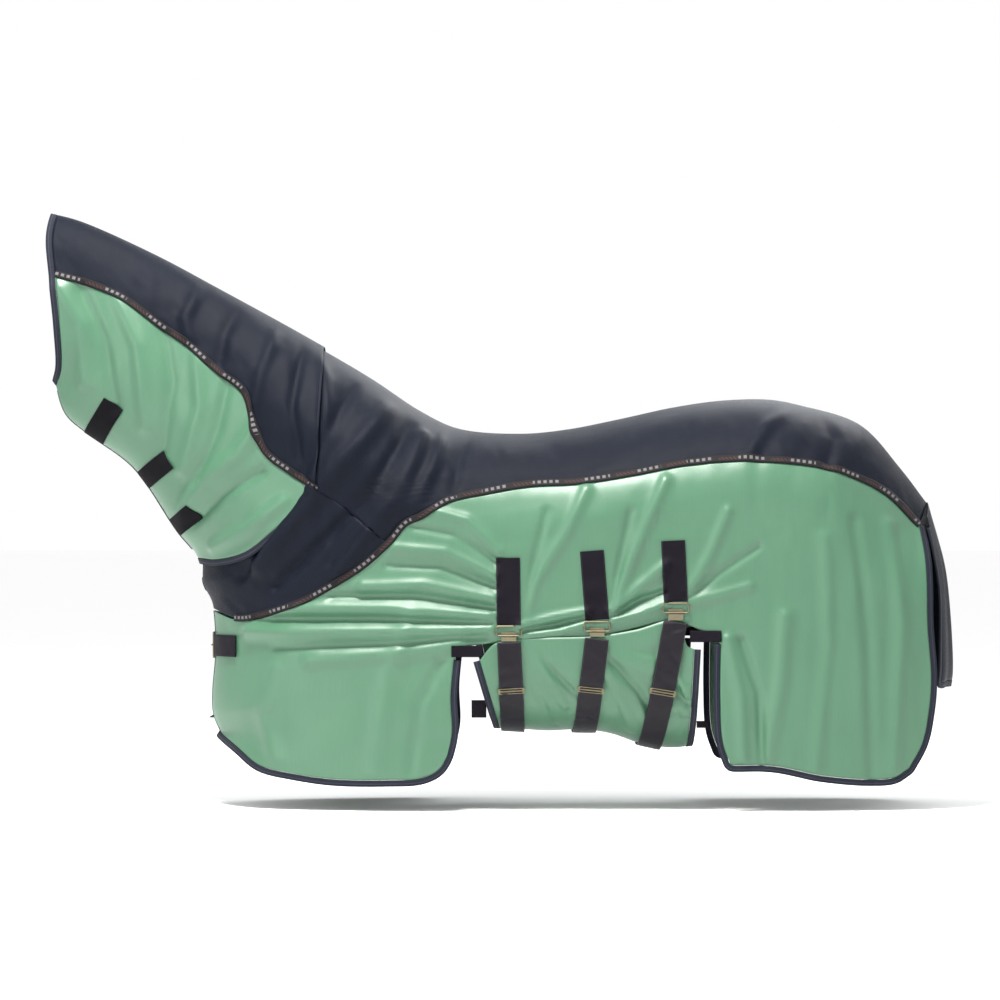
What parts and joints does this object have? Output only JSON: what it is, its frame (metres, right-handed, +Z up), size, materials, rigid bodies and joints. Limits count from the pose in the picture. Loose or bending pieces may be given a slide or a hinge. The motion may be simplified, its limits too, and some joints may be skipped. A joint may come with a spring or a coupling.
{
  "type": "horse turnout rug",
  "caption": "Horse turnout rug in its worn shape: back cloth, mesh sides, neck cover, belly flap with surcingles, tail flap, chest strap and neck closing tabs.",
  "frame": {"origin": "dip of the back behind the withers, on the outside of the cloth in the middle plane", "axes": "+X towards the tail, +Y towards the off (right) side, +Z up; the near side faces -Y"},
  "size_m": [2.102, 0.6182, 1.3094],
  "materials": {
    "navy_cloth": "matte ripstop weave",
    "mint_mesh": "satin woven mesh",
    "edge_binding": "matte folded tape",
    "woven_tape": "patterned woven tape",
    "dark_webbing": "satin webbing",
    "hook_and_loop": "matte pile",
    "brass_hardware": "dulled satin"
  },
  "bodies": {
    "root": {"back_panel": "navy_cloth", "left_yoke": "navy_cloth", "right_yoke": "navy_cloth", "neck_crest": "navy_cloth", "left_front_quarter": "mint_mesh", "right_front_quarter": "mint_mesh", "left_flank": "mint_mesh", "right_flank": "mint_mesh", "left_hind_quarter": "mint_mesh", "right_hind_quarter": "mint_mesh", "left_neck_side": "mint_mesh", "right_neck_side": "mint_mesh", "left_front_binding": "edge_binding", "right_front_binding": "edge_binding", "left_hind_binding": "edge_binding", "right_hind_binding": "edge_binding", "head_binding": "edge_binding", "neck_hem_binding": "edge_binding", "throat_binding": "edge_binding", "left_body_tape": "woven_tape", "right_body_tape": "woven_tape", "left_neck_tape": "woven_tape", "right_neck_tape": "woven_tape", "surcingle_patch_front": "dark_webbing", "surcingle_patch_middle": "dark_webbing", "surcingle_patch_rear": "dark_webbing", "surcingle_anchor_front": "dark_webbing", "surcingle_anchor_middle": "dark_webbing", "surcingle_anchor_rear": "dark_webbing", "left_front_slot_bar": "dark_webbing", "right_front_slot_bar": "dark_webbing", "left_rear_slot_bar": "dark_webbing", "right_rear_slot_bar": "dark_webbing", "left_chest_strap": "dark_webbing", "right_chest_strap": "dark_webbing", "chest_buckle_frame": "brass_hardware"},
    "belly_flap": {"belly_flap": "mint_mesh", "flap_front_binding": "edge_binding", "flap_rear_binding": "edge_binding", "belly_strap_front": "dark_webbing", "belly_strap_middle": "dark_webbing", "belly_strap_rear": "dark_webbing", "t_hook_front": "brass_hardware", "t_hook_middle": "brass_hardware", "t_hook_rear": "brass_hardware", "belly_tab": "dark_webbing", "belly_link": "dark_webbing"},
    "tail_flap": {"tail_flap": "navy_cloth", "tail_binding": "edge_binding"},
    "ring_front": {"surcingle_ring_front": "brass_hardware"},
    "ring_middle": {"surcingle_ring_middle": "brass_hardware"},
    "ring_rear": {"surcingle_ring_rear": "brass_hardware"},
    "slider_front": {"strap_slider_front": "brass_hardware"},
    "slider_middle": {"strap_slider_middle": "brass_hardware"},
    "slider_rear": {"strap_slider_rear": "brass_hardware"},
    "tab_upper": {"neck_tab_upper": "hook_and_loop"},
    "tab_middle": {"neck_tab_middle": "hook_and_loop"},
    "tab_lower": {"neck_tab_lower": "hook_and_loop"},
    "buckle_tongue": {"chest_buckle_tongue": "brass_hardware"},
    "keeper": {"chest_keeper": "dark_webbing"}
  },
  "joints": [
    {"name": "belly_flap_drop", "type": "hinge", "parent": "root", "child": "belly_flap", "pos_m": [0.15, 0.3075, -0.4805], "axis": [1, 0, 0], "range_deg": [0, 75]},
    {"name": "tail_flap_lift", "type": "hinge", "parent": "root", "child": "tail_flap", "pos_m": [0.9445, 0, -0.16], "axis": [0, -1, 0], "range_deg": [0, 80]},
    {"name": "ring_front_swing", "type": "hinge", "parent": "root", "child": "ring_front", "pos_m": [-0.026, -0.3078, -0.4399], "axis": [-1, 0, 0], "range_deg": [0, 80]},
    {"name": "ring_middle_swing", "type": "hinge", "parent": "root", "child": "ring_middle", "pos_m": [0.174, -0.3065, -0.4296], "axis": [-1, 0, 0], "range_deg": [0, 80]},
    {"name": "ring_rear_swing", "type": "hinge", "parent": "root", "child": "ring_rear", "pos_m": [0.352, -0.307, -0.3877], "axis": [-1, 0, 0], "range_deg": [0, 80]},
    {"name": "slider_front_slide", "type": "slide", "parent": "belly_flap", "child": "slider_front", "axis": [-0.0429, -0.3997, 0.9157], "range_m": [-0.012, 0.012]},
    {"name": "slider_middle_slide", "type": "slide", "parent": "belly_flap", "child": "slider_middle", "axis": [0.1107, -0.382, 0.9175], "range_m": [-0.012, 0.012]},
    {"name": "slider_rear_slide", "type": "slide", "parent": "belly_flap", "child": "slider_rear", "axis": [0.1747, -0.2909, 0.9407], "range_m": [-0.012, 0.012]},
    {"name": "tab_upper_peel", "type": "hinge", "parent": "root", "child": "tab_upper", "pos_m": [-0.98897, -0.0199, -0.01172], "axis": [0.8307, -0.0048, -0.5567], "range_deg": [0, 90]},
    {"name": "tab_middle_peel", "type": "hinge", "parent": "root", "child": "tab_middle", "pos_m": [-0.87403, -0.022, -0.1093], "axis": [0.5941, -0.0046, -0.8043], "range_deg": [0, 90]},
    {"name": "tab_lower_peel", "type": "hinge", "parent": "root", "child": "tab_lower", "pos_m": [-0.8012, -0.02326, -0.21897], "axis": [0.5711, -0.005, -0.8209], "range_deg": [0, 90]},
    {"name": "tongue_turn", "type": "hinge", "parent": "root", "child": "buckle_tongue", "pos_m": [-0.7129, 0.024, -0.49], "axis": [0, 0, -1], "range_deg": [0, 100]},
    {"name": "keeper_slide", "type": "slide", "parent": "root", "child": "keeper", "axis": [-0.3087, -0.9512, 0], "range_m": [-0.008, 0.008]}
  ]
}
